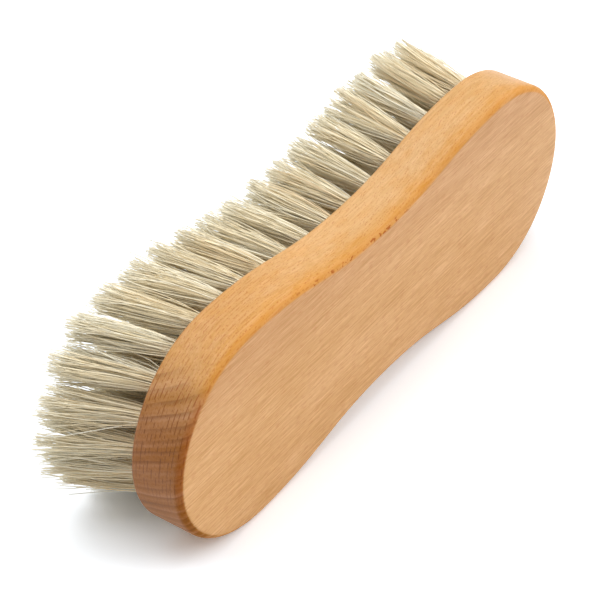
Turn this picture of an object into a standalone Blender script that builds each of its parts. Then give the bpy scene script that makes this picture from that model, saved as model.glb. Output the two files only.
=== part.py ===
# A hand scrub brush: a waisted beech block set with tufts of pale plant fibre.
#
# The pieces are modelled on a bench, with the block flat on its bare back and the
# bristles up: X runs along the block, Y across it, and Z is zero on the back face.
# The empty "brush" then turns all of it onto the block's long edge, so that in the
# world the bristles point to +Y and the origin is the middle of the footprint.

import math

import bmesh
import bpy
import numpy as np
from mathutils import Matrix, Vector
from mathutils.geometry import interpolate_bezier

# Block, in metres
BLOCK_LENGTH = 0.2000
LOBE_WIDTH = 0.0715
WAIST_WIDTH = 0.0578
LOBE_OFFSET = 0.0624
BLOCK_THICKNESS = 0.0172
BACK_EDGE_ROUND = 0.0025
FRONT_EDGE_ROUND = 0.0010

# Handles of the outline's curves, as shares of the stretch that each one shapes
WAIST_HANDLE_SHARE = 0.47
LOBE_HANDLE_SHARE = 0.47
SHOULDER_HANDLE_SHARE = 0.684
END_HANDLE_SHARE = 0.445

# Drilled holes, and the shallow tray that the inner rows are let into
HOLE_DIAMETER = 0.0048
HOLE_DEPTH = 0.0090
DRILL_POINT = 0.0010
HOLE_MARGIN = 0.0077
END_MARGIN_EXTRA = 0.0044
TRAY_WALL = 0.0013
SLICE_THICKNESS = 0.0016
SEAT_GAP = 0.0003

# Tufts: a stub of bundled fibre stands out of the wood and splits into strands
BRISTLE_LENGTH = 0.0308
BUNDLE_DIAMETER = 0.0040
STUB_HEIGHT = 0.0006
TIP_RADIUS = 0.0038
NEAR_END_LEAN = 0.0125
MIDDLE_LEAN = 0.0020
FAR_END_LEAN = 0.0050
FLANK_LEAN = 0.0025
FLOOR_CLEARANCE = 0.0003

# Shares of a strand: how thin it gets, how much shorter some are, and where its stretches end
STRAND_TIP_SHARE = 0.42
RAGGED_SHARE = 0.05
RIM_STRETCH_SHARES = (0.5, 1.0)
INNER_STRETCH_SHARES = (1.0,)

# Other shares: an inner tuft's place across the ring, and a slice's start before its station
INNER_ROW_SHARE = 0.5
SLICE_START_SHARE = 0.25

# Counts
RIM_TUFTS = 40
RIM_STRANDS = 6
INNER_STATIONS_EACH_WAY = 8
INNER_STRANDS = 5
BLOCK_STEPS = 16
TRAY_STEPS = 8
PATH_STEPS = 80
BACK_ROUND_STEPS = 3
FRONT_ROUND_STEPS = 2

# Angles
SMOOTH_ANGLE = math.radians(35)
FLAT_ANGLE = math.radians(0.1)

# Scatters the strands' lengths evenly
GOLDEN_RATIO = (1 + math.sqrt(5)) / 2

# Worked out from the values above
LOBE_HALF = LOBE_WIDTH / 2
OVERRUN = HOLE_DIAMETER
ROOT_RADIUS = HOLE_DIAMETER / 2 - SEAT_GAP
TRAY_INSET = HOLE_MARGIN + HOLE_DIAMETER / 2 + TRAY_WALL
TRAY_FLOOR = BLOCK_THICKNESS - SLICE_THICKNESS - SEAT_GAP
RING_HALF_LENGTH = BLOCK_LENGTH / 2 - HOLE_MARGIN - END_MARGIN_EXTRA
RING_HALF_WIDTH = LOBE_HALF - HOLE_MARGIN
TIP_REACH = TIP_RADIUS + STRAND_TIP_SHARE * ROOT_RADIUS
STATION_PITCH = RING_HALF_LENGTH / (INNER_STATIONS_EACH_WAY + 1)


def clear_scene():
    for scene_object in list(bpy.data.objects):
        bpy.data.objects.remove(scene_object, do_unlink=True)


def new_collection(name):
    collection = bpy.data.collections.new(name)
    bpy.context.scene.collection.children.link(collection)
    return collection


def new_material(name, colour, roughness):
    material = bpy.data.materials.new(name)
    material.use_nodes = True
    shader = material.node_tree.nodes["Principled BSDF"]
    shader.inputs["Base Color"].default_value = (*colour, 1)
    shader.inputs["Roughness"].default_value = roughness
    shader.inputs["Metallic"].default_value = 0
    return material


def mesh_object(name, bm, collection, parent, material=None):
    """Turn a bmesh into a smooth-shaded object with sharp creases."""
    mesh = bpy.data.meshes.new(name)
    bm.to_mesh(mesh)
    bm.free()
    mesh.shade_smooth()
    mesh.set_sharp_from_angle(angle=SMOOTH_ANGLE)
    if material:
        mesh.materials.append(material)
    new = bpy.data.objects.new(name, mesh)
    collection.objects.link(new)
    new.parent = parent
    return new


def hide_as_tool(tool):
    tool.hide_render = True
    tool.display_type = "WIRE"
    return tool


def add_boolean(target, tool, operation):
    modifier = target.modifiers.new(tool.name, "BOOLEAN")
    modifier.operation = operation
    modifier.solver = "EXACT"
    modifier.object = tool


def outline_knots(inset, end_extra):
    """Knots of the block's outline, drawn in, at its ends by more: place, handle before and after."""
    half_length = BLOCK_LENGTH / 2 - inset - end_extra
    lobe = LOBE_HALF - inset
    waist = WAIST_WIDTH / 2 - inset
    waist_handle = WAIST_HANDLE_SHARE * LOBE_OFFSET
    inner = LOBE_OFFSET - LOBE_HANDLE_SHARE * LOBE_OFFSET
    outer = LOBE_OFFSET + SHOULDER_HANDLE_SHARE * (half_length - LOBE_OFFSET)
    end_handle = END_HANDLE_SHARE * lobe
    half = (
        ((half_length, 0), (half_length, -end_handle), (half_length, end_handle)),
        ((LOBE_OFFSET, lobe), (outer, lobe), (inner, lobe)),
        ((0, waist), (waist_handle, waist), (-waist_handle, waist)),
        ((-LOBE_OFFSET, lobe), (-inner, lobe), (-outer, lobe)),
    )
    knots = [[Vector((x, y, 0)) for x, y in knot] for knot in half]
    return knots + [[-point for point in knot] for knot in knots]


def outline_path(inset, end_extra):
    """Closely spaced points once around the drawn-in outline, from its +X end."""
    knots = outline_knots(inset, end_extra)
    points = []
    for start, end in zip(knots, knots[1:] + knots[:1]):
        stretch = interpolate_bezier(start[0], start[2], end[1], end[0], PATH_STEPS)
        points += stretch[:-1]
    return np.array(points)[:, :2]


def ring_half_width_at(x):
    """Half the width of the ring of tufts at a place along the block."""
    path = outline_path(HOLE_MARGIN, END_MARGIN_EXTRA)
    side = path[: len(path) // 2 + 1]
    return float(np.interp(x, side[::-1, 0], side[::-1, 1]))


def outline_plate(inset, end_extra, low, high, steps):
    """A plate of the drawn-in outline between two heights, as a bmesh."""
    curve = bpy.data.curves.new("outline", "CURVE")
    curve.dimensions = "2D"
    curve.fill_mode = "BOTH"
    curve.resolution_u = steps
    curve.extrude = (high - low) / 2
    knots = outline_knots(inset, end_extra)
    spline = curve.splines.new("BEZIER")
    spline.bezier_points.add(len(knots) - 1)
    spline.use_cyclic_u = True
    for point, (place, before, after) in zip(spline.bezier_points, knots):
        point.co = place
        point.handle_left_type = "FREE"
        point.handle_right_type = "FREE"
        point.handle_left = before
        point.handle_right = after
    holder = bpy.data.objects.new("outline", curve)
    bpy.context.scene.collection.objects.link(holder)
    evaluated = holder.evaluated_get(bpy.context.evaluated_depsgraph_get())
    mesh = bpy.data.meshes.new_from_object(evaluated)
    bpy.data.objects.remove(holder)
    bm = bmesh.new()
    bm.from_mesh(mesh)
    bmesh.ops.remove_doubles(bm, verts=bm.verts, dist=SEAT_GAP / 10)
    bmesh.ops.dissolve_limit(bm, angle_limit=FLAT_ANGLE, verts=bm.verts, edges=bm.edges)
    bmesh.ops.translate(bm, verts=bm.verts, vec=(0, 0, (high + low) / 2))
    bmesh.ops.recalc_face_normals(bm, faces=bm.faces)
    return bm


def round_rim(bm, top, radius, steps):
    """Round the edge around a plate's top or bottom face."""
    middle = sum(vert.co.z for vert in bm.verts) / len(bm.verts)
    rim = [
        edge
        for edge in bm.edges
        if all((vert.co.z > middle) == top for vert in edge.verts)
    ]
    bmesh.ops.bevel(bm, geom=rim, offset=radius, segments=steps, profile=0.5, affect="EDGES")


def rim_places():
    """Centres of the outer ring of holes, each with the angle that it faces."""
    path = outline_path(HOLE_MARGIN, END_MARGIN_EXTRA)
    loop = np.vstack([path, path[:1]])
    runs = np.linalg.norm(np.diff(loop, axis=0), axis=1)
    travelled = np.concatenate([[0], np.cumsum(runs)])
    whole = travelled[-1]
    probe = whole / len(path)

    def at(distance):
        distance %= whole
        return np.array([np.interp(distance, travelled, loop[:, axis]) for axis in (0, 1)])

    places = []
    for number in range(RIM_TUFTS):
        distance = whole * number / RIM_TUFTS
        x, y = at(distance)
        along = at(distance + probe) - at(distance - probe)
        places.append((x, y, math.atan2(-along[0], along[1])))
    return places


def inner_places():
    """For each station along the block, the centres of its inner tufts."""
    stations = []
    for station in range(-INNER_STATIONS_EACH_WAY, INNER_STATIONS_EACH_WAY + 1):
        x = station * STATION_PITCH
        places = [(x, 0)]
        if station < INNER_STATIONS_EACH_WAY:
            between = x + STATION_PITCH / 2
            y = INNER_ROW_SHARE * ring_half_width_at(between)
            places += [(between, y), (between, -y)]
        stations.append(places)
    return stations


def tuft_lean(x, y):
    """How far a tuft's tip leans over: the tufts fan out, and none reaches below the floor."""
    stations = (-RING_HALF_LENGTH, 0, RING_HALF_LENGTH)
    along = np.interp(x, stations, (-NEAR_END_LEAN, -MIDDLE_LEAN, FAR_END_LEAN))
    across = FLANK_LEAN * y / RING_HALF_WIDTH
    room = LOBE_HALF - y - TIP_REACH - FLOOR_CLEARANCE
    return Vector((along, min(across, room), 0))


def cap_of(verts, top):
    """The flat face at the top or the bottom of a round body."""
    faces = {face for vert in verts for face in vert.link_faces}
    ranked = sorted(faces, key=lambda face: face.calc_center_median().z)
    return ranked[-1] if top else ranked[0]


def add_round_body(bm, sides, radius, low, high, place):
    """Add a round body between two heights, centred and turned by a placing matrix."""
    middle = Matrix.Translation((0, 0, (low + high) / 2))
    made = bmesh.ops.create_cone(
        bm,
        cap_ends=True,
        segments=sides,
        radius1=radius,
        radius2=radius,
        depth=high - low,
        matrix=place @ middle,
    )
    return made["verts"]


def split_into_strands(bm, cap, strands):
    """Divide a bundle's flat top into one triangle for each strand."""
    centre = bmesh.ops.poke(bm, faces=[cap])["verts"][0]
    spokes = list(centre.link_edges)
    if len(spokes) > strands:
        ends = {edge: edge.other_vert(centre).co - centre.co for edge in spokes}
        spokes.sort(key=lambda edge: math.atan2(ends[edge].y, ends[edge].x))
        bmesh.ops.rotate_edges(bm, edges=spokes[::2])
    return centre.co.copy(), list(centre.link_faces)


def grow_strand(bm, face, axis, lean, reach, stretches):
    """Draw a strand out of its triangle: away from the tuft's axis, over with the lean, thinner."""
    root = face.calc_center_median()
    out = root - axis
    spread = TIP_RADIUS - out.length
    out.normalize()
    rise = Vector((0, 0, reach - STUB_HEIGHT))
    size = 1
    for share in stretches:
        face = bmesh.ops.extrude_discrete_faces(bm, faces=[face])["faces"][0]
        bend = share * (1 + share) / 2
        place = root + out * spread * share + lean * bend + rise * share
        new_size = 1 + (STRAND_TIP_SHARE - 1) * share
        centre = face.calc_center_median()
        for vert in face.verts:
            vert.co = place + (vert.co - centre) * new_size / size
        size = new_size


def strand_reach(number):
    """How far a strand's tip stands off the wood: all but the first fall a little short."""
    return BRISTLE_LENGTH * (1 - RAGGED_SHARE * (number * GOLDEN_RATIO % 1))


def grow_tuft(bm, verts, strands, lean, first, stretches):
    """Grow a tuft's strands from the top of its bundle."""
    axis, faces = split_into_strands(bm, cap_of(verts, True), strands)
    for number, face in enumerate(faces):
        grow_strand(bm, face, axis, lean, strand_reach(first + number), stretches)


def build_rim_tuft(number, place, collection, parent, material):
    """One tuft of the outer ring: its bundled root in the hole, and its leaning strands."""
    x, y, angle = place
    bm = bmesh.new()
    depth = HOLE_DEPTH - SEAT_GAP
    root = add_round_body(bm, 2 * RIM_STRANDS, ROOT_RADIUS, -depth, STUB_HEIGHT, Matrix())
    lean = Matrix.Rotation(-angle, 3, "Z") @ tuft_lean(x, y)
    grow_tuft(bm, root, RIM_STRANDS, lean, number * RIM_STRANDS, RIM_STRETCH_SHARES)
    bmesh.ops.recalc_face_normals(bm, faces=bm.faces)
    tuft = mesh_object(f"rim_tuft_{number + 1:02d}", bm, collection, parent, material)
    tuft.location = (x, y, BLOCK_THICKNESS)
    tuft.rotation_euler.z = angle


def cut_slice(bm, x, keep_above):
    """Cut a plate square across at x and close the cut."""
    cut = bmesh.ops.bisect_plane(
        bm,
        geom=bm.verts[:] + bm.edges[:] + bm.faces[:],
        plane_co=(x, 0, 0),
        plane_no=(1, 0, 0),
        clear_inner=keep_above,
        clear_outer=not keep_above,
    )
    edges = [item for item in cut["geom_cut"] if isinstance(item, bmesh.types.BMEdge)]
    bmesh.ops.edgeloop_fill(bm, edges=edges)


def build_inner_row(number, places, collection, tools, parent, material):
    """One slice across the tray with the tufts that it carries fused to it."""
    start = places[0][0] - SLICE_START_SHARE * STATION_PITCH
    end = start + STATION_PITCH
    seat = TRAY_FLOOR + SEAT_GAP
    inset = TRAY_INSET + SEAT_GAP
    plate = outline_plate(inset, END_MARGIN_EXTRA, seat, BLOCK_THICKNESS, TRAY_STEPS)
    if number > 0:
        cut_slice(plate, start + SEAT_GAP / 2, True)
    if number < 2 * INNER_STATIONS_EACH_WAY:
        cut_slice(plate, end - SEAT_GAP / 2, False)
    bmesh.ops.recalc_face_normals(plate, faces=plate.faces)
    row = mesh_object(f"inner_row_{number + 1:02d}", plate, collection, parent, material)

    bm = bmesh.new()
    low = BLOCK_THICKNESS - SLICE_THICKNESS / 2
    high = BLOCK_THICKNESS + STUB_HEIGHT
    first = RIM_TUFTS * RIM_STRANDS + number * len(places) * INNER_STRANDS
    for x, y in places:
        centre = Matrix.Translation((x, y, 0))
        bundle = add_round_body(bm, INNER_STRANDS, BUNDLE_DIAMETER / 2, low, high, centre)
        grow_tuft(bm, bundle, INNER_STRANDS, tuft_lean(x, y), first, INNER_STRETCH_SHARES)
        first += INNER_STRANDS
    bmesh.ops.recalc_face_normals(bm, faces=bm.faces)
    strands = hide_as_tool(mesh_object(f"strands_{number + 1:02d}", bm, tools, parent))
    add_boolean(row, strands, "UNION")


def build_block(places, collection, tools, parent, material):
    """The waisted block with its rounded edges, drilled holes and tray."""
    bm = outline_plate(0, 0, 0, BLOCK_THICKNESS, BLOCK_STEPS)
    round_rim(bm, False, BACK_EDGE_ROUND, BACK_ROUND_STEPS)
    round_rim(bm, True, FRONT_EDGE_ROUND, FRONT_ROUND_STEPS)
    block = mesh_object("wood_block", bm, collection, parent, material)

    high = BLOCK_THICKNESS + OVERRUN
    bm = outline_plate(TRAY_INSET, END_MARGIN_EXTRA, TRAY_FLOOR, high, TRAY_STEPS)
    tray = hide_as_tool(mesh_object("tray_cutter", bm, tools, parent))
    add_boolean(block, tray, "DIFFERENCE")

    bm = bmesh.new()
    floor = BLOCK_THICKNESS - HOLE_DEPTH
    for x, y, angle in places:
        place = Matrix.Translation((x, y, 0)) @ Matrix.Rotation(angle, 4, "Z")
        hole = add_round_body(bm, 2 * RIM_STRANDS, HOLE_DIAMETER / 2, floor, high, place)
        bmesh.ops.poke(bm, faces=[cap_of(hole, False)], offset=DRILL_POINT)
    drills = hide_as_tool(mesh_object("drill_cutter", bm, tools, parent))
    add_boolean(block, drills, "DIFFERENCE")


def footprint_shift(places):
    """How far the block moves along X so that the whole brush is centred."""
    tips = [x + tuft_lean(x, y).x for x, y, angle in places]
    far = max(max(tips) + TIP_RADIUS, BLOCK_LENGTH / 2)
    near = min(min(tips) - TIP_RADIUS, -BLOCK_LENGTH / 2)
    return -(far + near) / 2


def main():
    clear_scene()
    parts = new_collection("scrub_brush")
    tools = new_collection("cutters")
    beech = new_material("beech", (0.68, 0.40, 0.20), 0.45)
    fibre = new_material("plant_fibre", (0.70, 0.64, 0.48), 0.60)

    places = rim_places()
    brush = bpy.data.objects.new("brush", None)
    parts.objects.link(brush)
    depth = BLOCK_THICKNESS + BRISTLE_LENGTH
    brush.location = (footprint_shift(places), -depth / 2, LOBE_HALF)
    brush.rotation_euler.x = -math.pi / 2

    build_block(places, parts, tools, brush, beech)
    for number, place in enumerate(places):
        build_rim_tuft(number, place, parts, brush, fibre)
    for number, row in enumerate(inner_places()):
        build_inner_row(number, row, parts, tools, brush, fibre)


main()
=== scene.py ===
import math

import bpy
import numpy as np
from mathutils import Matrix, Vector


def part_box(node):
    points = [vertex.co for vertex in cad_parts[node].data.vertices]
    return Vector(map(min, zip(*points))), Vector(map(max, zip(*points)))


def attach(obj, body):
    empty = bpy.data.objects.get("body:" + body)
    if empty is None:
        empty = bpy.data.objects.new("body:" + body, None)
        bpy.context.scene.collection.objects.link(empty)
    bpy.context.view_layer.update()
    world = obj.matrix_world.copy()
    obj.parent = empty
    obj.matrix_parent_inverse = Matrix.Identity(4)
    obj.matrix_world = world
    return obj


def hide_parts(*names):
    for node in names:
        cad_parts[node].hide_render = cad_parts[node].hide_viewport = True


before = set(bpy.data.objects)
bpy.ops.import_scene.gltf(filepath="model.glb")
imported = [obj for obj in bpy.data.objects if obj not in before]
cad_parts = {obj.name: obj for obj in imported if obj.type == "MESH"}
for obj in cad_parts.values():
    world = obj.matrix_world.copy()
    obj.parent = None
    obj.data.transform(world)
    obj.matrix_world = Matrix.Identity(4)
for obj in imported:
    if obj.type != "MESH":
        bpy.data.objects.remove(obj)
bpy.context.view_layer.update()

print("frame loaded,", len(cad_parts), "nodes")


def fromScreen(red, green, blue):
    # a colour as seen on a screen, 0 to 255, as the linear colour that a shader takes
    share = np.array((red, green, blue)) / 255
    linear = np.where(share < 0.04045, share / 12.92, ((share + 0.055) / 1.055) ** 2.4)
    return (*linear.tolist(), 1)


class Value:
    # one number or vector in a material; arithmetic on it adds Math nodes
    def __init__(self, paint, socket):
        self.paint, self.socket = paint, socket

    def maths(self, operation, *others):
        return self.paint.maths(operation, self, *others)

    def __add__(self, other): return self.maths("ADD", other)
    def __mul__(self, other): return self.maths("MULTIPLY", other)
    def __sub__(self, other): return self.maths("SUBTRACT", other)
    def __truediv__(self, other): return self.maths("DIVIDE", other)
    def __rsub__(self, other): return self.paint.maths("SUBTRACT", other, self)
    def __rtruediv__(self, other): return self.paint.maths("DIVIDE", other, self)
    __radd__, __rmul__ = __add__, __mul__

    def step(self, low, high):
        # eases from 0 at low to 1 at high
        settings = {"interpolation_type": "SMOOTHSTEP", "data_type": "FLOAT"}
        return self.paint.node("ShaderNodeMapRange", settings, {0: self, 1: low, 2: high, 3: 0, 4: 1})

    def band(self, begin, full, fade, end):
        # eases from 0 at begin to 1 at full, and from 1 at fade back to 0 at end
        return self.step(begin, full) * (1 - self.step(fade, end))


class Paint:
    # a material and the nodes that it is made of
    def __init__(self, name):
        self.material = bpy.data.materials.new(name)
        self.material.use_nodes = True
        self.tree = self.material.node_tree
        self.shader = self.tree.nodes["Principled BSDF"]

    def node(self, kind, settings=None, inputs=None, out=0):
        # settings first, then the values or links of the sockets; gives the chosen output
        made = self.tree.nodes.new(kind)
        for name, value in (settings or {}).items():
            setattr(made, name, value)
        for key, value in (inputs or {}).items():
            self.feed(made.inputs[key], value)
        return Value(self, made.outputs[out])

    def feed(self, socket, value):
        if isinstance(value, Value):
            self.tree.links.new(value.socket, socket)
        else:
            socket.default_value = value

    def maths(self, operation, *terms):
        return self.node("ShaderNodeMath", {"operation": operation}, dict(enumerate(terms)))

    def place(self):
        # where a point of the piece lies, in metres
        return self.node("ShaderNodeTexCoord", out="Object")

    def axes(self, vector):
        # the three numbers of a vector
        split = self.node("ShaderNodeSeparateXYZ", inputs={0: vector})
        return [Value(self, split.socket.node.outputs[axis]) for axis in range(3)]

    def vector(self, x, y, z):
        return self.node("ShaderNodeCombineXYZ", inputs={0: x, 1: y, 2: z})

    def noise(self, vector, detail):
        # soft random patches, about one unit of the vector wide
        return self.node("ShaderNodeTexNoise", {"noise_dimensions": "3D"},
                         {"Vector": vector, "Scale": 1, "Detail": detail})

    def mix(self, share, first, second):
        # the second colour laid over the first, by a share of 0 to 1
        settings = {"data_type": "RGBA", "clamp_factor": True}
        return self.node("ShaderNodeMix", settings, {0: share, 6: first, 7: second}, out=2)

    def attribute(self, name):
        # a number that each vertex of the mesh carries
        return self.node("ShaderNodeAttribute", {"attribute_name": name}, out="Fac")

    def finish(self, **sockets):
        # feeds the shader's own sockets and gives the material
        for name, value in sockets.items():
            self.feed(self.shader.inputs[name.replace("_", " ")], value)
        return self.material


def tubesMesh(name, rings, starts, ends):
    # rings[tube, row, corner] hold points; neighbours are joined row to row, and a point closes each end
    tubes, rows, corners = rings.shape[:3]
    size = rows * corners + 2
    points = np.concatenate([rings.reshape(tubes, -1, 3), starts[:, None], ends[:, None]], 1)
    here = np.arange(rows * corners).reshape(rows, corners)
    after = np.roll(here, -1, axis=1)
    quads = np.stack([here[:-1], after[:-1], after[1:], here[1:]], -1).reshape(-1, 4)
    tips = np.concatenate([
        np.stack([after[0], here[0], np.full(corners, size - 2)], -1),
        np.stack([here[-1], after[-1], np.full(corners, size - 1)], -1),
    ])
    shift = (np.arange(tubes) * size)[:, None, None]
    quads, tips = (quads + shift).reshape(-1, 4), (tips + shift).reshape(-1, 3)
    mesh = bpy.data.meshes.new(name)
    mesh.vertices.add(points.size // 3)
    mesh.vertices.foreach_set("co", points.astype(np.float32).ravel())
    mesh.loops.add(quads.size + tips.size)
    mesh.loops.foreach_set("vertex_index", np.concatenate([quads.ravel(), tips.ravel()]).astype(np.int32))
    mesh.polygons.add(len(quads) + len(tips))
    begin = np.concatenate([np.arange(len(quads)) * 4, quads.size + np.arange(len(tips)) * 3])
    mesh.polygons.foreach_set("loop_start", begin.astype(np.int32))
    mesh.update(calc_edges=True)
    mesh.validate()
    mesh.shade_smooth()
    return mesh


def addPiece(name, mesh, material, nodes):
    # shows a mesh as a piece of the brush, in place of its CAD nodes
    mesh.materials.append(material)
    piece = bpy.data.objects.new(name, mesh)
    bpy.context.scene.collection.objects.link(piece)
    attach(piece, "root")
    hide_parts(*nodes)


block = dict(
    length=0.2000, lobeWidth=0.0715, waistWidth=0.0578, lobeOffset=0.0624, thickness=0.0172,
    backRound=0.0025, frontRound=0.0010,
    # how far the handles of the outline's curves reach, as shares of their stretch
    waistHandle=0.47, lobeHandle=0.47, shoulderHandle=0.684, endHandle=0.445,
    # the holes: their ring's distance from the edge, and how far out the inner pairs stand, as a share of the ring
    holeMargin=0.0077, endMarginExtra=0.0044, innerShare=0.5,
    holeWidth=0.0048, holeDepth=0.0090, drillPoint=0.0010, drillClear=0.0077,
    columns=400, sideRows=8, roundRows=8, faceScales=(0.25, 0.5, 0.75, 0.9, 0.98), holeSides=24,
    # how level the surface lies where face turns to side, and where end grain stops at the -X and the +X end
    sideLevels=(0.88, 0.995), nearLevels=(0.93, 0.999), farLevels=(0.30, 0.85), farFrom=0.05,
    # how far a side turns to the end where end grain begins and is full, and the least angle of a sharp edge
    endSlopes=(0.42, 0.96), sharpAngle=35,
)
blockLow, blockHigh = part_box("wood_block")
middleX, middleZ = (blockLow.x + blockHigh.x) / 2, (blockLow.z + blockHigh.z) / 2
backY = blockLow.y
frontY = backY + block["thickness"]


def outlineLoop(inset, endExtra=0, steps=240):
    # eight cubic Bezier stretches round the block, drawn in by an inset, from its +X end by way of the floor side
    end, lobe = block["length"] / 2 - inset - endExtra, block["lobeWidth"] / 2 - inset
    waist, offset = block["waistWidth"] / 2 - inset, block["lobeOffset"]
    quarter = np.array([
        [(end, 0), (end, block["endHandle"] * lobe),
         (offset + block["shoulderHandle"] * (end - offset), lobe), (offset, lobe)],
        [(offset, lobe), (offset - block["lobeHandle"] * offset, lobe),
         (block["waistHandle"] * offset, waist), (0, waist)],
    ])
    t = (np.arange(steps) / steps)[:, None]
    weights = np.hstack([(1 - t) ** 3, 3 * (1 - t) ** 2 * t, 3 * (1 - t) * t ** 2, t ** 3])
    backwards = quarter[::-1, ::-1]
    half = np.concatenate([quarter, backwards * (-1, 1)])
    whole = np.concatenate([half, half[::-1, ::-1] * (1, -1)])
    return np.concatenate([weights @ stretch for stretch in whole])


def alongLoop(loop, distances):
    # points at given distances along a closed loop, and the outward direction: the way along it, turned by 90
    closed = np.vstack([loop, loop[:1]])
    travelled = np.concatenate([[0], np.cumsum(np.linalg.norm(np.diff(closed, axis=0), axis=1))])
    whole = travelled[-1]
    probe = whole / len(loop)
    at = lambda d: np.stack([np.interp(d % whole, travelled, closed[:, axis]) for axis in (0, 1)], -1)
    forward = at(distances + probe) - at(distances - probe)
    forward /= np.linalg.norm(forward, axis=1, keepdims=True)
    return at(distances), np.stack([forward[:, 1], -forward[:, 0]], -1)


def loopLength(loop):
    # the sum of the steps from each point to the next
    return np.linalg.norm(loop - np.roll(loop, 1, axis=0), axis=1).sum()


def toWorld(across, depth):
    # across: along the block and towards the floor; depth: from the bristle face outwards
    return np.stack([middleX + across[..., 0], frontY + depth, middleZ - across[..., 1]], -1)


# the ring of holes, at equal steps along its loop
rimLoop = outlineLoop(block["holeMargin"], block["endMarginExtra"])
rimCount = sum(name.startswith("rim_tuft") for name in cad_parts)
rimPlaces = alongLoop(rimLoop, loopLength(rimLoop) * np.arange(rimCount) / rimCount)[0]

# the inner holes: one in the middle at each station, and a pair halfway to the next
rowNames = sorted(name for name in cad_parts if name.startswith("inner_row"))
stations = (len(rowNames) - 1) // 2
stationPitch = rimLoop[:, 0].max() / (stations + 1)
halfRim = rimLoop[: len(rimLoop) // 2 + 1]
rowPlaces = []
for station in range(-stations, stations + 1):
    x = station * stationPitch
    between = x + stationPitch / 2
    side = block["innerShare"] * np.interp(between, halfRim[::-1, 0], halfRim[::-1, 1])
    rowPlaces.append(np.array([(x, 0), (between, side), (between, -side)][: 1 if station == stations else 3]))
print("outline laid out,", rimCount + sum(map(len, rowPlaces)), "holes")


beech = dict(
    # the face's colour, and its colour at the top, which is darker as painted shade
    face=fromScreen(203, 153, 95), faceShadedTop=fromScreen(195, 144, 90),
    side=fromScreen(212, 166, 110), sideNear=fromScreen(205, 153, 93),
    # the end grain colour is darker than the wood's own end grain, as it also holds painted shade of the -X end
    rounded=fromScreen(208, 149, 74), lip=fromScreen(198, 120, 10), endGrain=fromScreen(155, 98, 47),
    fleck=fromScreen(167, 80, 16), ring=fromScreen(101, 52, 0), dash=fromScreen(182, 116, 56),
    speck=fromScreen(142, 58, 14),
    # growth rings in mm, and where in a ring its line and its dark band begin, are full, fade and end
    ringWidth=3.2, ringTilt=0.45, ringStray=3, weakRing=0.4,
    ringLine=(0.50, 0.90, 0.90, 1.0), ringBand=(0.05, 0.75, 0.80, 1.0),
    # noise: its size in mm along, through and across the board, and the levels between which it shows
    wander=dict(size=(45, 30, 20), detail=3), ringShade=dict(size=(260, 60, 1), detail=2),
    strong=dict(size=(30, 14, 6), detail=1, levels=(0.35, 0.65)),
    dashes=dict(size=(3.2, 0.5, 0.36), detail=1, levels=(0.54, 0.66)),
    fine=dict(size=(13, 0.6, 0.6), detail=3), broad=dict(size=(55, 20, 14), detail=2),
    golden=dict(size=(9, 3, 3), detail=2, levels=(0.35, 0.75)),
    grit=dict(size=(1.9, 0.8, 1.0), detail=2, levels=(0.56, 0.62)),
    # rows of ray flecks, in mm
    rays=dict(pitch=1.35, length=1.3, reach=2.9, gap=0.45, wobble=1.0, every=16, thin=0.64),
    fineRays=dict(pitch=0.80, length=0.62, reach=1.8, gap=0.53, wobble=2.6, every=4, thin=0.58),
    fineTilt=0.2, fineShift=50,
    # mm below the back face, and along the block, where a layer begins, is full, fades and ends
    roundDepth=(0.02, 0.25, 2.2, 7.5), lipDepth=(0.01, 0.16, 0.7, 2.4),
    speckDepth=(0.02, 0.12, 0.5, 0.9), speckAlong=(-48, -36, 6, 18),
    # mm up from the middle, down from it or towards the -X end, over which a change comes
    upTop=(4, 32), upLip=(-4, 8), upSpeck=(0, 10), downLow=(-6, 12), nearEnd=(20, 75), nearSide=(0, 75),
    shoulder=(0.0, 0.45),  # the shares of end grain between which the shoulder begins and is full
    # how strongly each layer shows; End, Side, Near and Low are what those parts add or take
    shares=dict(
        rounded=0.60, golden=0.45, ring=0.02, ringEnd=0.48, ringLow=0.16,
        ray=0.16, rayNear=0.30, rayEnd=0.26, rayLow=0.58, fineRay=0.48, fineRayEnd=0.04, fineRayLow=0.34,
        dash=0.46, dashSide=0.34, speck=0.85, lip=0.30, edge=0.28, edgeLow=0.24),
    tone=dict(fine=0.78, fineSide=0.38, broad=0.25, ring=0.12, ringEnd=0.9, low=0.10, lowBand=0.26, pale=0.5),
    rough=dict(all=0.44, fine=0.12, end=0.10, lip=0.40), gloss=0.32,
    grooves=dict(fine=0.3, rays=0.7, dashes=0.3), grooveDepth=0.0001, grooveStrength=0.25,
)


def rayRows(paint, x, y, z, radial, pitch, length, reach, gap, wobble, every, thin,
            through=4, full=0.96, shift=3.7, fade=0.09):
    # thin upright sheets in wavering rows, broken along the grain and along the radius
    waver = paint.noise(paint.vector(x / every, y / through, z / every), 1)
    row = y / pitch + (waver - 0.5) * wobble
    line = (1 - (row.maths("FRACT") - 0.5).maths("ABSOLUTE") * 2).step(thin, full)
    broken = paint.noise(paint.vector(x / length, row.maths("FLOOR") * shift, radial / reach), 1)
    return line * broken.step(gap, gap + fade)


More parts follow.
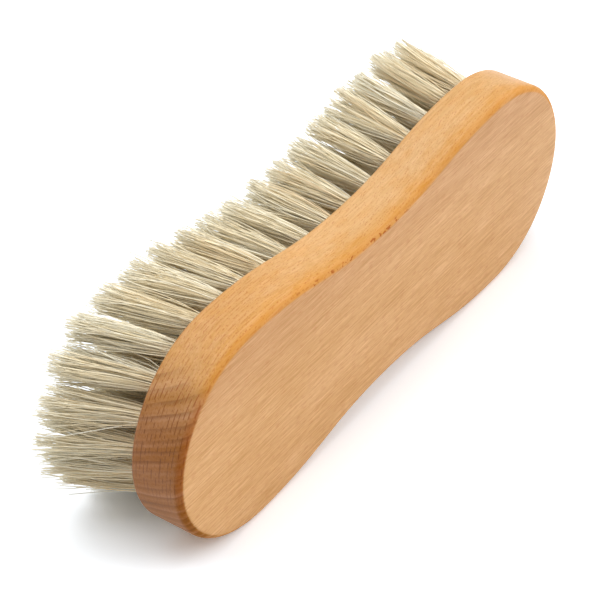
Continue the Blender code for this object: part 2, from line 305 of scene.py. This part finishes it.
def paintBeech():
    # layers of colour by the place in mm: plain wood, lighter and darker streaks, then the marks of the grain
    paint, wood = Paint("beech"), beech
    x, y, z = (axis * 1000 for axis in paint.axes(paint.place()))

    def pattern(size, detail, levels=None, across=z):
        # noise stretched to its size along, through and across the board, and eased between its levels
        spread = paint.noise(paint.vector(x / size[0], y / size[1], across / size[2]), detail)
        return spread.step(*levels) if levels else spread

    # where a point lies: its shares of end grain and side, and its place from the back face and the middle
    onEnd, onSide = paint.attribute("endGrain"), paint.attribute("sideFace")
    depth = y - backY * 1000
    height, beside = z - middleZ * 1000, x - middleX * 1000
    low, nearby = (0 - height).step(*wood["downLow"]), (0 - beside).step(*wood["nearEnd"])
    onShoulder, lipLine = onEnd.step(*wood["shoulder"]), depth.band(*wood["lipDepth"])

    # growth rings lie across the block's width, lean with its depth and wander a little
    radial = z + y * wood["ringTilt"] + (pattern(**wood["wander"]) - 0.5) * wood["ringStray"]
    rings = radial / wood["ringWidth"]
    ringTone, strong = pattern(**wood["ringShade"], across=rings), pattern(**wood["strong"], across=radial)
    saw = rings.maths("FRACT")
    ringLine = saw.band(*wood["ringLine"]) * (strong * (1 - wood["weakRing"]) + wood["weakRing"])
    ringBand = saw.band(*wood["ringBand"])

    rays = rayRows(paint, x, y, z, radial, **wood["rays"]) * onSide
    tilted, shifted = y - x * wood["fineTilt"], radial + wood["fineShift"]
    fineRays = rayRows(paint, x, tilted, z, shifted, **wood["fineRays"]) * onSide
    dashes, fine, broad = (pattern(**wood[name]) for name in ("dashes", "fine", "broad"))

    # plain wood: the face, the sides and the ends, with gold along the rounded edge and in patches on the sides
    share = wood["shares"]
    # the face turns darker towards its top: painted shade
    face = paint.mix(height.step(*wood["upTop"]), wood["face"], wood["faceShadedTop"])
    side = paint.mix((0 - beside).step(*wood["nearSide"]), wood["side"], wood["sideNear"])
    # the ends take the end grain colour: the end grain's own darkness together with painted shade of the -X end
    colour = paint.mix(onEnd, paint.mix(onSide, face, side), wood["endGrain"])
    gold = depth.band(*wood["roundDepth"]) * share["rounded"] + pattern(**wood["golden"]) * onSide * share["golden"]
    colour = paint.mix(gold * (1 - onShoulder), colour, wood["rounded"])

    # streaks and rings make it lighter and darker, and the low part of an end is darker
    by = wood["tone"]
    tone = (fine - 0.5) * (by["fine"] - onSide * by["fineSide"]) + (broad - 0.5) * by["broad"]
    tone = tone + (ringTone - 0.5) * (by["ring"] + onEnd * by["ringEnd"])
    tone = tone - onEnd * low * (by["low"] + ringBand * by["lowBand"])
    colour = paint.node("ShaderNodeHueSaturation", inputs={
        "Saturation": 1 - tone * by["pale"], "Value": tone + 1, "Color": colour})

    # ring lines, ray flecks and pores, a few dark specks where the upper edge meets the back face along the
    # waist, and that face's edge: gold along the upper side, redder on the end grain of the -X end
    mark = paint.mix(onEnd, wood["fleck"], wood["ring"])
    specks = pattern(**wood["grit"]) * depth.band(*wood["speckDepth"]) * height.step(*wood["upSpeck"])
    layers = (
        (ringLine * (share["ring"] + onShoulder * (share["ringEnd"] - low * share["ringLow"])), wood["ring"]),
        (rays * (share["ray"] + nearby * share["rayNear"]
                 + onShoulder * (share["rayEnd"] - low * share["rayLow"])), mark),
        (fineRays * (share["fineRay"] - onEnd * (share["fineRayEnd"] + low * share["fineRayLow"])), mark),
        (dashes * (share["dash"] - onSide * share["dashSide"]), wood["dash"]),
        (specks * beside.band(*wood["speckAlong"]) * share["speck"], wood["speck"]),
        (lipLine * height.step(*wood["upLip"]) * (1 - onShoulder) * share["lip"], wood["lip"]),
        (lipLine * nearby * onShoulder * (share["edge"] - low * share["edgeLow"]), wood["fleck"]),
    )
    for shown, ink in layers:
        colour = paint.mix(shown, colour, ink)

    by = wood["grooves"]
    grooves = fine * by["fine"] - rays * by["rays"] - dashes * by["dashes"]
    bump = paint.node("ShaderNodeBump", inputs={
        "Strength": wood["grooveStrength"], "Distance": wood["grooveDepth"], "Height": grooves})
    by = wood["rough"]
    rough = by["all"] + (fine - 0.5) * by["fine"] + onEnd * by["end"] + lipLine * by["lip"]
    return paint.finish(Base_Color=colour, Roughness=rough, Normal=bump, Specular_IOR_Level=wood["gloss"])


beechPaint = paintBeech()
print("beech painted")


def blockRings():
    # rings of the outline: scaled towards the middle on both faces; round an edge they follow a quarter circle,
    # drawn in by the radius times 1 less the sine, at a depth of the radius times 1 less the cosine
    outline = outlineLoop(0)
    rim, outward = alongLoop(outline, loopLength(outline) * np.arange(block["columns"]) / block["columns"])
    quarterTurn = np.linspace(0, math.pi / 2, block["roundRows"] + 1)
    back, front, thick = block["backRound"], block["frontRound"], block["thickness"]
    inset = np.concatenate([
        back * (1 - np.sin(quarterTurn)),
        np.zeros(block["sideRows"] - 1),
        front * (1 - np.cos(quarterTurn)),
    ])
    depth = np.concatenate([
        back * (1 - np.cos(quarterTurn)),
        np.linspace(back, thick - front, block["sideRows"] + 1)[1:-1],
        thick - front * (1 - np.sin(quarterTurn)),
    ])
    edge = rim - outward * inset[:, None, None]
    scales = np.array(block["faceScales"])[:, None, None]
    across = np.concatenate([edge[0] * scales, edge, edge[-1] * scales[::-1]])
    depths = np.concatenate([np.zeros(len(scales)), depth, np.full(len(scales), thick)]) - thick
    return toWorld(across, depths[:, None] * np.ones(block["columns"]))


def holeTubes(places):
    # round holes with a drill's point, as closed tubes that stand clear of the face
    sides, clear = block["holeSides"], block["drillClear"]
    turn = np.arange(sides) * math.tau / sides
    circle = np.stack([np.cos(turn), np.sin(turn)], -1) * block["holeWidth"] / 2
    across = places[:, None, None] + circle * np.ones((2, 1, 1))
    depth = np.array([-block["holeDepth"], clear])[:, None] * np.ones(sides)
    rings = toWorld(across, depth * np.ones((len(places), 1, 1)))
    points = toWorld(places, np.full(len(places), -block["holeDepth"] - block["drillPoint"]))
    return rings, points, toWorld(places, np.full(len(places), clear))


def pointsAndNormals(mesh):
    # where each vertex lies, and which way the surface faces there
    points = np.empty(len(mesh.vertices) * 3, np.float32)
    mesh.vertices.foreach_get("co", points)
    normals = np.empty_like(points)
    mesh.vertices.foreach_get("normal", normals)
    return points.reshape(-1, 3), normals.reshape(-1, 3)


def setValues(mesh, name, values):
    # one number for each vertex, for a material to read
    attribute = mesh.attributes.new(name, "FLOAT", "POINT")
    attribute.data.foreach_set("value", np.asarray(values, np.float32).ravel())


def eased(values, low, high):
    # 0 below low, 1 above high, and a smooth cubic between
    share = np.clip((values - low) / (high - low), 0, 1)
    return share ** 2 * (3 - 2 * share)


def buildBlock():
    # the rings as one closed tube, less the holes; each vertex then gets its shares of side and of end grain
    rings = blockRings()
    ends = toWorld(np.zeros((2, 2)), np.array([-block["thickness"], 0]))
    mesh = tubesMesh("block", rings[None], ends[:1], ends[1:])
    body = bpy.data.objects.new("block_body", mesh)
    bpy.context.scene.collection.objects.link(body)
    drill = bpy.data.objects.new("drill", tubesMesh("drill", *holeTubes(np.vstack([rimPlaces, *rowPlaces]))))
    bpy.context.scene.collection.objects.link(drill)
    cut = body.modifiers.new("holes", "BOOLEAN")
    cut.operation, cut.solver, cut.object = "DIFFERENCE", "EXACT", drill
    drilled = bpy.data.meshes.new_from_object(body.evaluated_get(bpy.context.evaluated_depsgraph_get()))
    for helper in (body, drill):
        bpy.data.objects.remove(helper)
    drilled.name = "block"
    drilled.shade_smooth()
    drilled.set_sharp_from_angle(angle=math.radians(block["sharpAngle"]))
    points, normals = pointsAndNormals(drilled)
    level = np.abs(normals[:, 1])
    slope = np.abs(normals[:, 0]) / np.maximum(np.hypot(normals[:, 0], normals[:, 2]), 1e-6)  # never by 0
    setValues(drilled, "sideFace", 1 - eased(level, *block["sideLevels"]))
    # the end grain starts at once at the -X end, and beyond the rounded edge at the other
    farther = eased(points[:, 0] - middleX, 0.0, block["farFrom"])
    flat = (1 - farther) * eased(level, *block["nearLevels"]) + farther * eased(level, *block["farLevels"])
    setValues(drilled, "endGrain", (1 - flat) * eased(slope, *block["endSlopes"]))
    addPiece("block", drilled, beechPaint, ["wood_block"])


buildBlock()
print("block built")


fibre = dict(
    # one fibre: its reach above the wood, its root in the hole, its thickness, and the stations along it
    reach=0.0317, reachStray=0.0003, reachMost=0.0320, depthInHole=0.0025,
    radius=0.00016, radiusStray=(0.82, 1.15), tipShare=0.78, corners=3,
    stationShares=(-0.07, 0.02, 0.12, 0.26, 0.41, 0.56, 0.71, 0.86, 1.0),
    # one tuft: its fibres stand close at the root, and their tips fan out in clumps, most at the -X end
    perTuft=205, rootRadius=0.0023, rootStray=0.00008, clumps=9, clumpRing=0.85, clumpFan=2.0,
    nearFan=0.45, nearFanFrom=(0.055, 0.085), innerFan=1.8, clumpStray=0.0008, stray=0.00045,
    # uneven lengths, wild fibres, waves and bows
    clumpShort=0.0004, ragged=0.0018, raggedPower=1.5, wildShare=0.13, wildStray=0.0017, wildReach=(-0.003, 0.0008),
    wave=0.00035, waves=(0.7, 1.6), bow=0.0008, fanPower=1.25, leanPower=1.15,
    # how far the tips lean along the block and across it, and the room that they keep to above the floor
    nearLean=0.0125, middleLean=0.0020, farLean=0.0050, flankLean=0.0025, floorLean=0.0015,
    floorReach=0.0050, floorRoom=0.0004, ceiling=0.0734, roomStray=0.0015,
    # loose fibres: the tuft's number, how far the tip lies along and towards the floor, its reach and its bend
    loose=((21, -0.0185, 0.0060, 0.0248, 1.0), (22, -0.0078, -0.0098, 0.0230, 1.0),
           (27, 0.0010, -0.0085, 0.0280, 3.0)),
    # how pale a fibre is, 0 to 1, with the stray of its clump and its own
    tone=0.55, clumpTone=0.16, ownTone=0.15,
    pale=fromScreen(255, 250, 230), straw=fromScreen(255, 241, 206), dark=fromScreen(252, 226, 182),
    # the shade adds up tone and streaks of a size in mm; straw and pale come in between two shades
    streakSize=(0.9, 6, 0.9), toneShare=0.8, streakShare=0.3, shadeLess=0.05,
    # along the fibre from its root: where the painted shade at the root ends and how strongly it shows, and where
    # the tip turns pale
    strawFrom=(0.0, 0.45), paleFrom=(0.40, 0.95), rootShadeEnd=(0, 0.15), rootShadeShare=0.4, tipFrom=(0.7, 1.0), tipPale=0.6,
    rough=0.44, streakRough=0.2, gloss=0.45,
)


def sunflower(count, radius, turn):
    # seeds of a sunflower: the radius grows with the root of the number, the angle by the golden angle
    number = np.arange(count) + 0.5
    angle = number * math.pi * (3 - math.sqrt(5)) + turn
    return np.stack([np.cos(angle), np.sin(angle)], -1) * radius * np.sqrt(number / count)[:, None]


def tuftFibres(place, lean, random, loose=()):
    # the centreline of every fibre of one tuft, [fibre, station, xyz], and each fibre's tone: from root to tip by
    # a power of the share travelled, plus the lean by another power, a sine wave and a parabola as its bow
    count, f = fibre["perTuft"], fibre
    root = sunflower(count, f["rootRadius"], random.uniform(0, math.tau))
    root = root + random.normal(0, f["rootStray"], (count, 2))
    centres = sunflower(f["clumps"], f["rootRadius"] * f["clumpRing"], random.uniform(0, math.tau))
    clump = np.linalg.norm(root[:, None] - centres, axis=2).argmin(1)
    fan = f["clumpFan"] * (1 + f["nearFan"] * float(eased(-place[0], *f["nearFanFrom"])))
    clumpTip = centres * fan + random.normal(0, f["clumpStray"], centres.shape)
    wild = random.random(count) < f["wildShare"]
    jitter = random.normal(0, 1, (count, 2)) * np.where(wild, f["wildStray"], f["stray"])[:, None]
    tip = clumpTip[clump] + (root - centres[clump]) * f["innerFan"] + jitter
    short = np.abs(random.normal(0, f["clumpShort"], f["clumps"]))[clump]
    short = short + random.random(count) ** f["raggedPower"] * f["ragged"]
    reach = f["reach"] + random.normal(0, f["reachStray"], count) - short
    reach = np.minimum(reach + wild * random.uniform(*f["wildReach"], count), f["reachMost"])
    share = np.array(f["stationShares"])
    above = np.clip(share, 0, 1)[:, None]
    way = np.stack([random.uniform(*f["waves"], (count, 2)), random.random((count, 2))])[:, :, None]
    waving = above * np.sin(math.tau * (way[0] * above + way[1])) * f["wave"]
    bowing = above * (1 - above) * 4 * random.normal(0, f["bow"], (count, 1, 2))
    across = root[:, None] + (tip - root)[:, None] * above ** f["fanPower"] + lean * above ** f["leanPower"]
    across = across + waving + bowing
    for number, (along, down, length, bend) in enumerate(loose):
        across[number] = root[number] + (along, down) * above ** bend
        reach[number] = length
    depth = np.where(share < 0, share / -share[0] * f["depthInHole"], share * reach[:, None])
    line = toWorld(place + across, depth)
    # fibres that the floor or the ceiling holds back don't all lie at one height
    room = random.random((count, 1)) ** 2 * f["roomStray"] * above[:, 0]
    line[..., 2] = np.clip(line[..., 2], f["floorRoom"] + room, f["ceiling"] - room)
    tone = f["tone"] + random.normal(0, f["clumpTone"], f["clumps"])[clump] + random.normal(0, f["ownTone"], count)
    tone = np.clip(tone, 0, 1)
    tone[:len(loose)] = 1
    return line, tone


def fibreMesh(name, lines, tones, random):
    # a three-sided tube round every centreline, thinner towards its tip
    corners, share = fibre["corners"], np.array(fibre["stationShares"])
    along = np.clip(share, 0, 1)
    forward = np.gradient(lines, axis=1)
    forward /= np.linalg.norm(forward, axis=2, keepdims=True)
    sideways = np.cross(forward, (0, 0, 1.0))
    sideways /= np.linalg.norm(sideways, axis=2, keepdims=True)
    upwards = np.cross(sideways, forward)
    radius = fibre["radius"] * random.uniform(*fibre["radiusStray"], len(lines))[:, None] * (
        1 - (1 - fibre["tipShare"]) * along)
    turn = random.uniform(0, math.tau, len(lines))[:, None] + np.arange(corners) * math.tau / corners
    turn = turn[:, None, :, None]
    spokes = np.cos(turn) * sideways[:, :, None] + np.sin(turn) * upwards[:, :, None]
    rings = lines[:, :, None] + spokes * radius[:, :, None, None]
    tips = lines[:, -1] + forward[:, -1] * fibre["radius"]
    mesh = tubesMesh(name, rings, lines[:, 0], tips)
    setValues(mesh, "along", np.tile(np.concatenate([np.repeat(along, corners), [0, 1]]), len(lines)))
    setValues(mesh, "tone", np.repeat(tones, len(share) * corners + 2))
    mapStrips(mesh, len(lines), len(share), corners)
    return mesh


def mapStrips(mesh, tubes, rows, corners, bands=3, margin=0.08):
    # every tube unrolls into its own upright strip of the map, in three bands
    columns = math.ceil(tubes / bands)
    across = np.arange(corners)
    up = (np.arange(rows) + 1) / (rows + 1)
    r, c = np.meshgrid(np.arange(rows - 1), across, indexing="ij")
    quads = np.stack([
        np.stack([c, up[r]], -1), np.stack([c + 1, up[r]], -1),
        np.stack([c + 1, up[r + 1]], -1), np.stack([c, up[r + 1]], -1)], 2).reshape(-1, 2)
    flat = np.ones(corners)
    tips = np.concatenate([
        np.stack([np.stack([across + 1, up[0] * flat], -1), np.stack([across, up[0] * flat], -1),
                  np.stack([across + 0.5, 0 * flat], -1)], 1),
        np.stack([np.stack([across, up[-1] * flat], -1), np.stack([across + 1, up[-1] * flat], -1),
                  np.stack([across + 0.5, flat], -1)], 1)]).reshape(-1, 2)
    number = np.arange(tubes)[:, None]
    cell = np.stack([number % columns, number // columns], -1)
    size = np.array([1 / columns, 1 / bands])
    placed = lambda own: ((cell + margin + (1 - 2 * margin) * own * (1 / corners, 1)) * size).reshape(-1, 2)
    layer = mesh.uv_layers.new(name="OFBake")
    layer.uv.foreach_set("vector", np.concatenate([placed(quads), placed(tips)]).astype(np.float32).ravel())


def paintFibre():
    # from dark to straw to pale with the fibre's tone and streaks, darker again at the root as painted shade, and
    # paler at the tip
    paint, f = Paint("plant_fibre"), fibre
    x, y, z = (axis * 1000 for axis in paint.axes(paint.place()))
    tone, along = paint.attribute("tone"), paint.attribute("along")
    streak = paint.noise(paint.vector(*(axis / size for axis, size in zip((x, y, z), f["streakSize"]))), 2)
    shade = tone * f["toneShare"] + streak * f["streakShare"] - f["shadeLess"]
    colour = paint.mix(shade.step(*f["strawFrom"]), f["dark"], f["straw"])
    colour = paint.mix(shade.step(*f["paleFrom"]), colour, f["pale"])
    # painted shade: the fibres turn darker towards their roots among the crowded tufts
    colour = paint.mix((1 - along.step(*f["rootShadeEnd"])) * f["rootShadeShare"], colour, f["dark"])
    colour = paint.mix(along.step(*f["tipFrom"]) * f["tipPale"], colour, f["pale"])
    rough = f["rough"] + (streak - 0.5) * f["streakRough"]
    return paint.finish(Base_Color=colour, Roughness=rough, Specular_IOR_Level=f["gloss"])


def tuftLeans(places):
    # tips fan out along the block, most at its -X end, and a little across it, never below the floor
    end, side = rimLoop.max(axis=0)
    along = np.interp(places[:, 0], (-end, 0, end), (-fibre["nearLean"], -fibre["middleLean"], fibre["farLean"]))
    room = block["lobeWidth"] / 2 - fibre["floorReach"] - places[:, 1]
    outwards = np.where(places[:, 1] > 0, fibre["floorLean"], fibre["flankLean"]) * places[:, 1] / side
    return np.stack([along, np.minimum(outwards, room)], -1)


fibrePaint = paintFibre()


def buildTufts(node, places, seed):
    # all fibres of one node's tufts as one mesh; the seed is the tuft's number, which also finds its loose fibres
    random = np.random.default_rng(seed)
    loose = [bend for tuft, *bend in fibre["loose"] if tuft == seed]
    grown = [tuftFibres(place, lean, random, loose) for place, lean in zip(places, tuftLeans(places))]
    lines = np.concatenate([line for line, tone in grown])
    tones = np.concatenate([tone for line, tone in grown])
    name = "fibres_" + node
    addPiece(name, fibreMesh(name, lines, tones, random), fibrePaint, [node])


for number in range(rimCount):
    buildTufts(f"rim_tuft_{number + 1:02d}", rimPlaces[number:number + 1], number)
for number, (node, places) in enumerate(zip(rowNames, rowPlaces)):
    buildTufts(node, places, 1000 + number)  # seeds well past those of the ring
print("tufts grown")


studio = dict(
    floorSeen=(1.187, 1.234, 1.290, 1), floorLit=(0.80, 0.80, 0.80, 1), tableHalf=3.0, skyLevel=0.43, lampAngle=40,
    # lamps: strength, and how far it stands round from +X and up, in degrees
    lamps=dict(front=(1.95, -45, 28), left=(0.80, 120, 58), right=(0.57, 60, 58), top=(0.71, 0, 90)),
    lens=142.67, sensor=36, clip=(0.01, 20), cameraFrom=(-0.445139, -0.308512, 0.466016),
    right=(0.58678547, -0.80918527, -0.03003359), up=(0.54025243, 0.36360019, 0.75889539),
    forward=(0.60316675, 0.4615345, -0.65051961),
)


def seenDirectly(paint):
    # 1 for what the camera sees, straight, mirrored or through glass
    path = paint.node("ShaderNodeLightPath")
    outputs = path.socket.node.outputs
    seen = Value(paint, outputs["Is Camera Ray"]) + Value(paint, outputs["Is Glossy Ray"])
    return (seen + Value(paint, outputs["Is Transmission Ray"])).maths("MINIMUM", 1)


def buildFloor():
    # a white table that looks whiter than it shines, so that only its deep shadows are grey
    half = studio["tableHalf"]
    corners = [(-half, -half, 0), (half, -half, 0), (half, half, 0), (-half, half, 0)]
    mesh = bpy.data.meshes.new("table")
    mesh.from_pydata(corners, [], [(0, 1, 2, 3)])
    paint = Paint("white_table")
    colour = paint.mix(seenDirectly(paint), studio["floorLit"], studio["floorSeen"])
    mesh.materials.append(paint.finish(Base_Color=colour, Roughness=1.0, Specular_IOR_Level=0.0))
    table = bpy.data.objects.new("table", mesh)
    bpy.context.scene.collection.objects.link(table)


def buildLight():
    # an even sky that the camera sees as white, and four wide suns
    world = bpy.data.worlds.new("studio")
    bpy.context.scene.world = world
    world.use_nodes = True
    nodes, links = world.node_tree.nodes, world.node_tree.links
    path, sky = nodes.new("ShaderNodeLightPath"), nodes["Background"]
    level = nodes.new("ShaderNodeMapRange")
    links.new(path.outputs["Is Camera Ray"], level.inputs["Value"])
    level.inputs["To Min"].default_value = studio["skyLevel"]
    level.inputs["To Max"].default_value = 1
    links.new(level.outputs["Result"], sky.inputs["Strength"])
    sky.inputs["Color"].default_value = (1, 1, 1, 1)
    for name, (strength, around, up) in studio["lamps"].items():
        sun = bpy.data.lights.new(name, "SUN")
        sun.energy, sun.angle = strength, math.radians(studio["lampAngle"])
        lamp = bpy.data.objects.new(name, sun)
        lamp.rotation_euler = (0, math.radians(90 - up), math.radians(around))
        bpy.context.scene.collection.objects.link(lamp)


def buildCamera():
    # its matrix holds the right, up and backward directions, and its place from the middle of the back face
    data = bpy.data.cameras.new("camera")
    data.lens, data.sensor_width = studio["lens"], studio["sensor"]
    data.clip_start, data.clip_end = studio["clip"]
    camera = bpy.data.objects.new("camera", data)
    turned = np.eye(4)
    turned[:3, 0], turned[:3, 1], turned[:3, 2] = studio["right"], studio["up"], -np.array(studio["forward"])
    turned[:3, 3] = np.array((middleX, backY, middleZ)) + studio["cameraFrom"]
    camera.matrix_world = Matrix(turned.tolist())
    bpy.context.scene.collection.objects.link(camera)
    bpy.context.scene.camera = camera


buildFloor()
buildLight()
buildCamera()
bpy.context.scene.view_settings.view_transform = "Standard"
print("studio lit")
